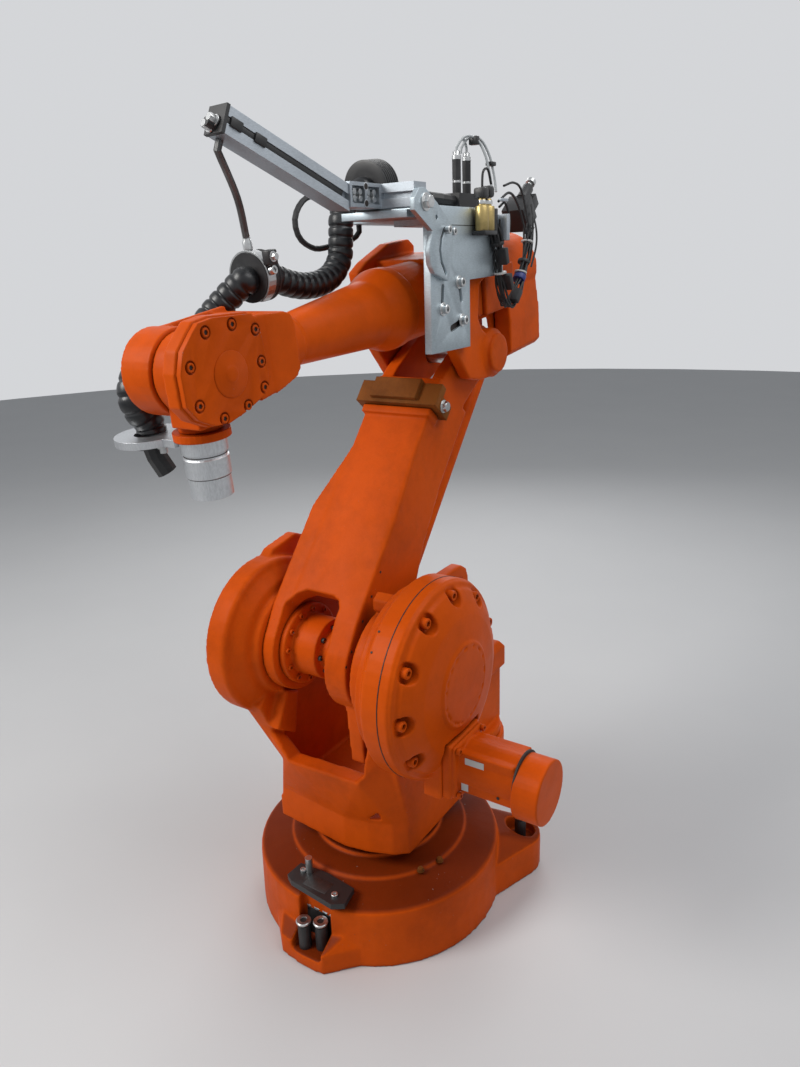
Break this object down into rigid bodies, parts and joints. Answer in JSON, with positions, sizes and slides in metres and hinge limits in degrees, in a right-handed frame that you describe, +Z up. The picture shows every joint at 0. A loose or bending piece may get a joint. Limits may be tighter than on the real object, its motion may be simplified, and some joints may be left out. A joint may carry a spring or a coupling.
{
  "type": "industrial robot arm",
  "caption": "Floor-standing six-axis robot arm with a parallel linkage, a hose package on the upper arm and an adapter on the wrist.",
  "frame": {"origin": "centre of the base's underside, on axis 1, at floor level", "axes": "+Z up along axis 1, +X the way the arm reaches, +Y towards the side of the axis 2 motor"},
  "size_m": [1.1781, 0.7986, 1.5687],
  "materials": {
    "orange_paint": "gloss paint over cast iron and aluminium, worn and chipped",
    "bracket_paint": "dull brown paint, worn",
    "black_plastic": "matte",
    "black_rubber": "ribbed and dull",
    "aluminium": "machined and anodised",
    "steel": "ground and zinc plated",
    "brass": "dull yellow zinc"
  },
  "bodies": {
    "base": {"base_casting": "orange_paint", "foot_sleeve_front_outer": "black_plastic", "foot_sleeve_front_inner": "black_plastic", "foot_sleeve_rear_near": "black_plastic", "foot_sleeve_rear_far": "black_plastic", "mark_plate": "black_plastic", "mark_pin": "steel"},
    "frame": {"frame_casting": "orange_paint", "gear_unit_near": "orange_paint", "gear_unit_far": "orange_paint", "axis1_motor": "orange_paint", "axis2_motor": "orange_paint", "axis3_motor": "orange_paint"},
    "lower_arm": {"lower_arm_casting": "orange_paint", "arm_bracket": "bracket_paint"},
    "elbow_shaft": {"elbow_shaft": "steel"},
    "upper_arm": {"upper_arm_housing": "orange_paint", "rear_motor_cover": "orange_paint", "axis4_motor": "orange_paint", "dress_plate": "steel", "crescent_arm": "aluminium", "profile_cross": "aluminium", "profile_long": "aluminium", "profile_end_cap": "black_plastic", "hose_clamp": "black_plastic", "hose_saddle": "black_plastic", "saddle_strap": "aluminium", "hanger_strap": "black_rubber", "hose_upper": "black_rubber", "hose_forearm": "black_rubber", "cable_loop": "black_rubber", "valve_pair": "black_plastic", "solenoid_block": "brass", "sensor_block": "black_plastic", "cable_bundle": "black_rubber", "supply_hose": "black_rubber"},
    "lever": {"axis3_lever": "orange_paint"},
    "rod_pin": {"rod_pin": "steel"},
    "tie_rod": {"tie_rod": "orange_paint"},
    "forearm": {"forearm_tube": "orange_paint", "wrist_fork": "orange_paint", "wrist_cover": "orange_paint", "hose_wrist": "black_rubber"},
    "wrist_tilt": {"tilt_housing": "orange_paint"},
    "tool": {"tool_flange": "orange_paint", "tool_adapter": "aluminium", "clamp_ring": "aluminium", "cable_connector": "black_plastic", "hose_tool": "black_rubber"}
  },
  "joints": [
    {"name": "axis1_turn", "type": "hinge", "parent": "base", "child": "frame", "pos_m": [0, 0, 0.2], "axis": [0, 0, 1], "range_deg": [-180, 180]},
    {"name": "axis2_swing", "type": "hinge", "parent": "frame", "child": "lower_arm", "pos_m": [0.1, 0, 0.615], "axis": [0, 1, 0], "range_deg": [-18.2, 96.8]},
    {"name": "elbow_shaft_turn", "type": "hinge", "parent": "lower_arm", "child": "elbow_shaft", "pos_m": [-0.35692, 0, 1.15189], "axis": [0, 1, 0], "range_deg": [-96.8, 18.2]},
    {"name": "axis3_swing", "type": "hinge", "parent": "elbow_shaft", "child": "upper_arm", "pos_m": [-0.35692, 0, 1.15189], "axis": [0, 1, 0], "range_deg": [-66.4, 18.2]},
    {"name": "lever_swing", "type": "hinge", "parent": "frame", "child": "lever", "pos_m": [0.1, 0, 0.615], "axis": [0, 1, 0], "range_deg": [-66.4, 18.2]},
    {"name": "rod_pin_turn", "type": "hinge", "parent": "lever", "child": "rod_pin", "pos_m": [-0.07964, 0, 0.6037], "axis": [0, 1, 0], "range_deg": [-18.2, 66.4]},
    {"name": "tie_rod_swing", "type": "hinge", "parent": "rod_pin", "child": "tie_rod", "pos_m": [-0.07964, 0, 0.6037], "axis": [0, 1, 0], "range_deg": [-18.2, 96.8]},
    {"name": "axis4_turn", "type": "hinge", "parent": "upper_arm", "child": "forearm", "pos_m": [-0.34188, 0, 1.28604], "axis": [0.9938, 0, -0.1115], "range_deg": [-200, 200], "deforming": ["hose_forearm"]},
    {"name": "axis5_bend", "type": "hinge", "parent": "forearm", "child": "wrist_tilt", "pos_m": [0.40842, 0, 1.20188], "axis": [0, 1, 0], "range_deg": [-208.7, 31.3], "deforming": ["hose_wrist"]},
    {"name": "axis6_turn", "type": "hinge", "parent": "wrist_tilt", "child": "tool", "pos_m": [0.40842, 0, 1.20188], "axis": [0.0889, 0, 0.996], "range_deg": [-400, 400], "deforming": ["hose_tool"]}
  ],
  "couplings": [
    {"joint": "elbow_shaft_turn", "follows": "axis2_swing", "ratio": -1},
    {"joint": "lever_swing", "follows": "axis3_swing", "ratio": 1},
    {"joint": "rod_pin_turn", "follows": "axis3_swing", "ratio": -1},
    {"joint": "tie_rod_swing", "follows": "axis2_swing", "ratio": 1}
  ]
}
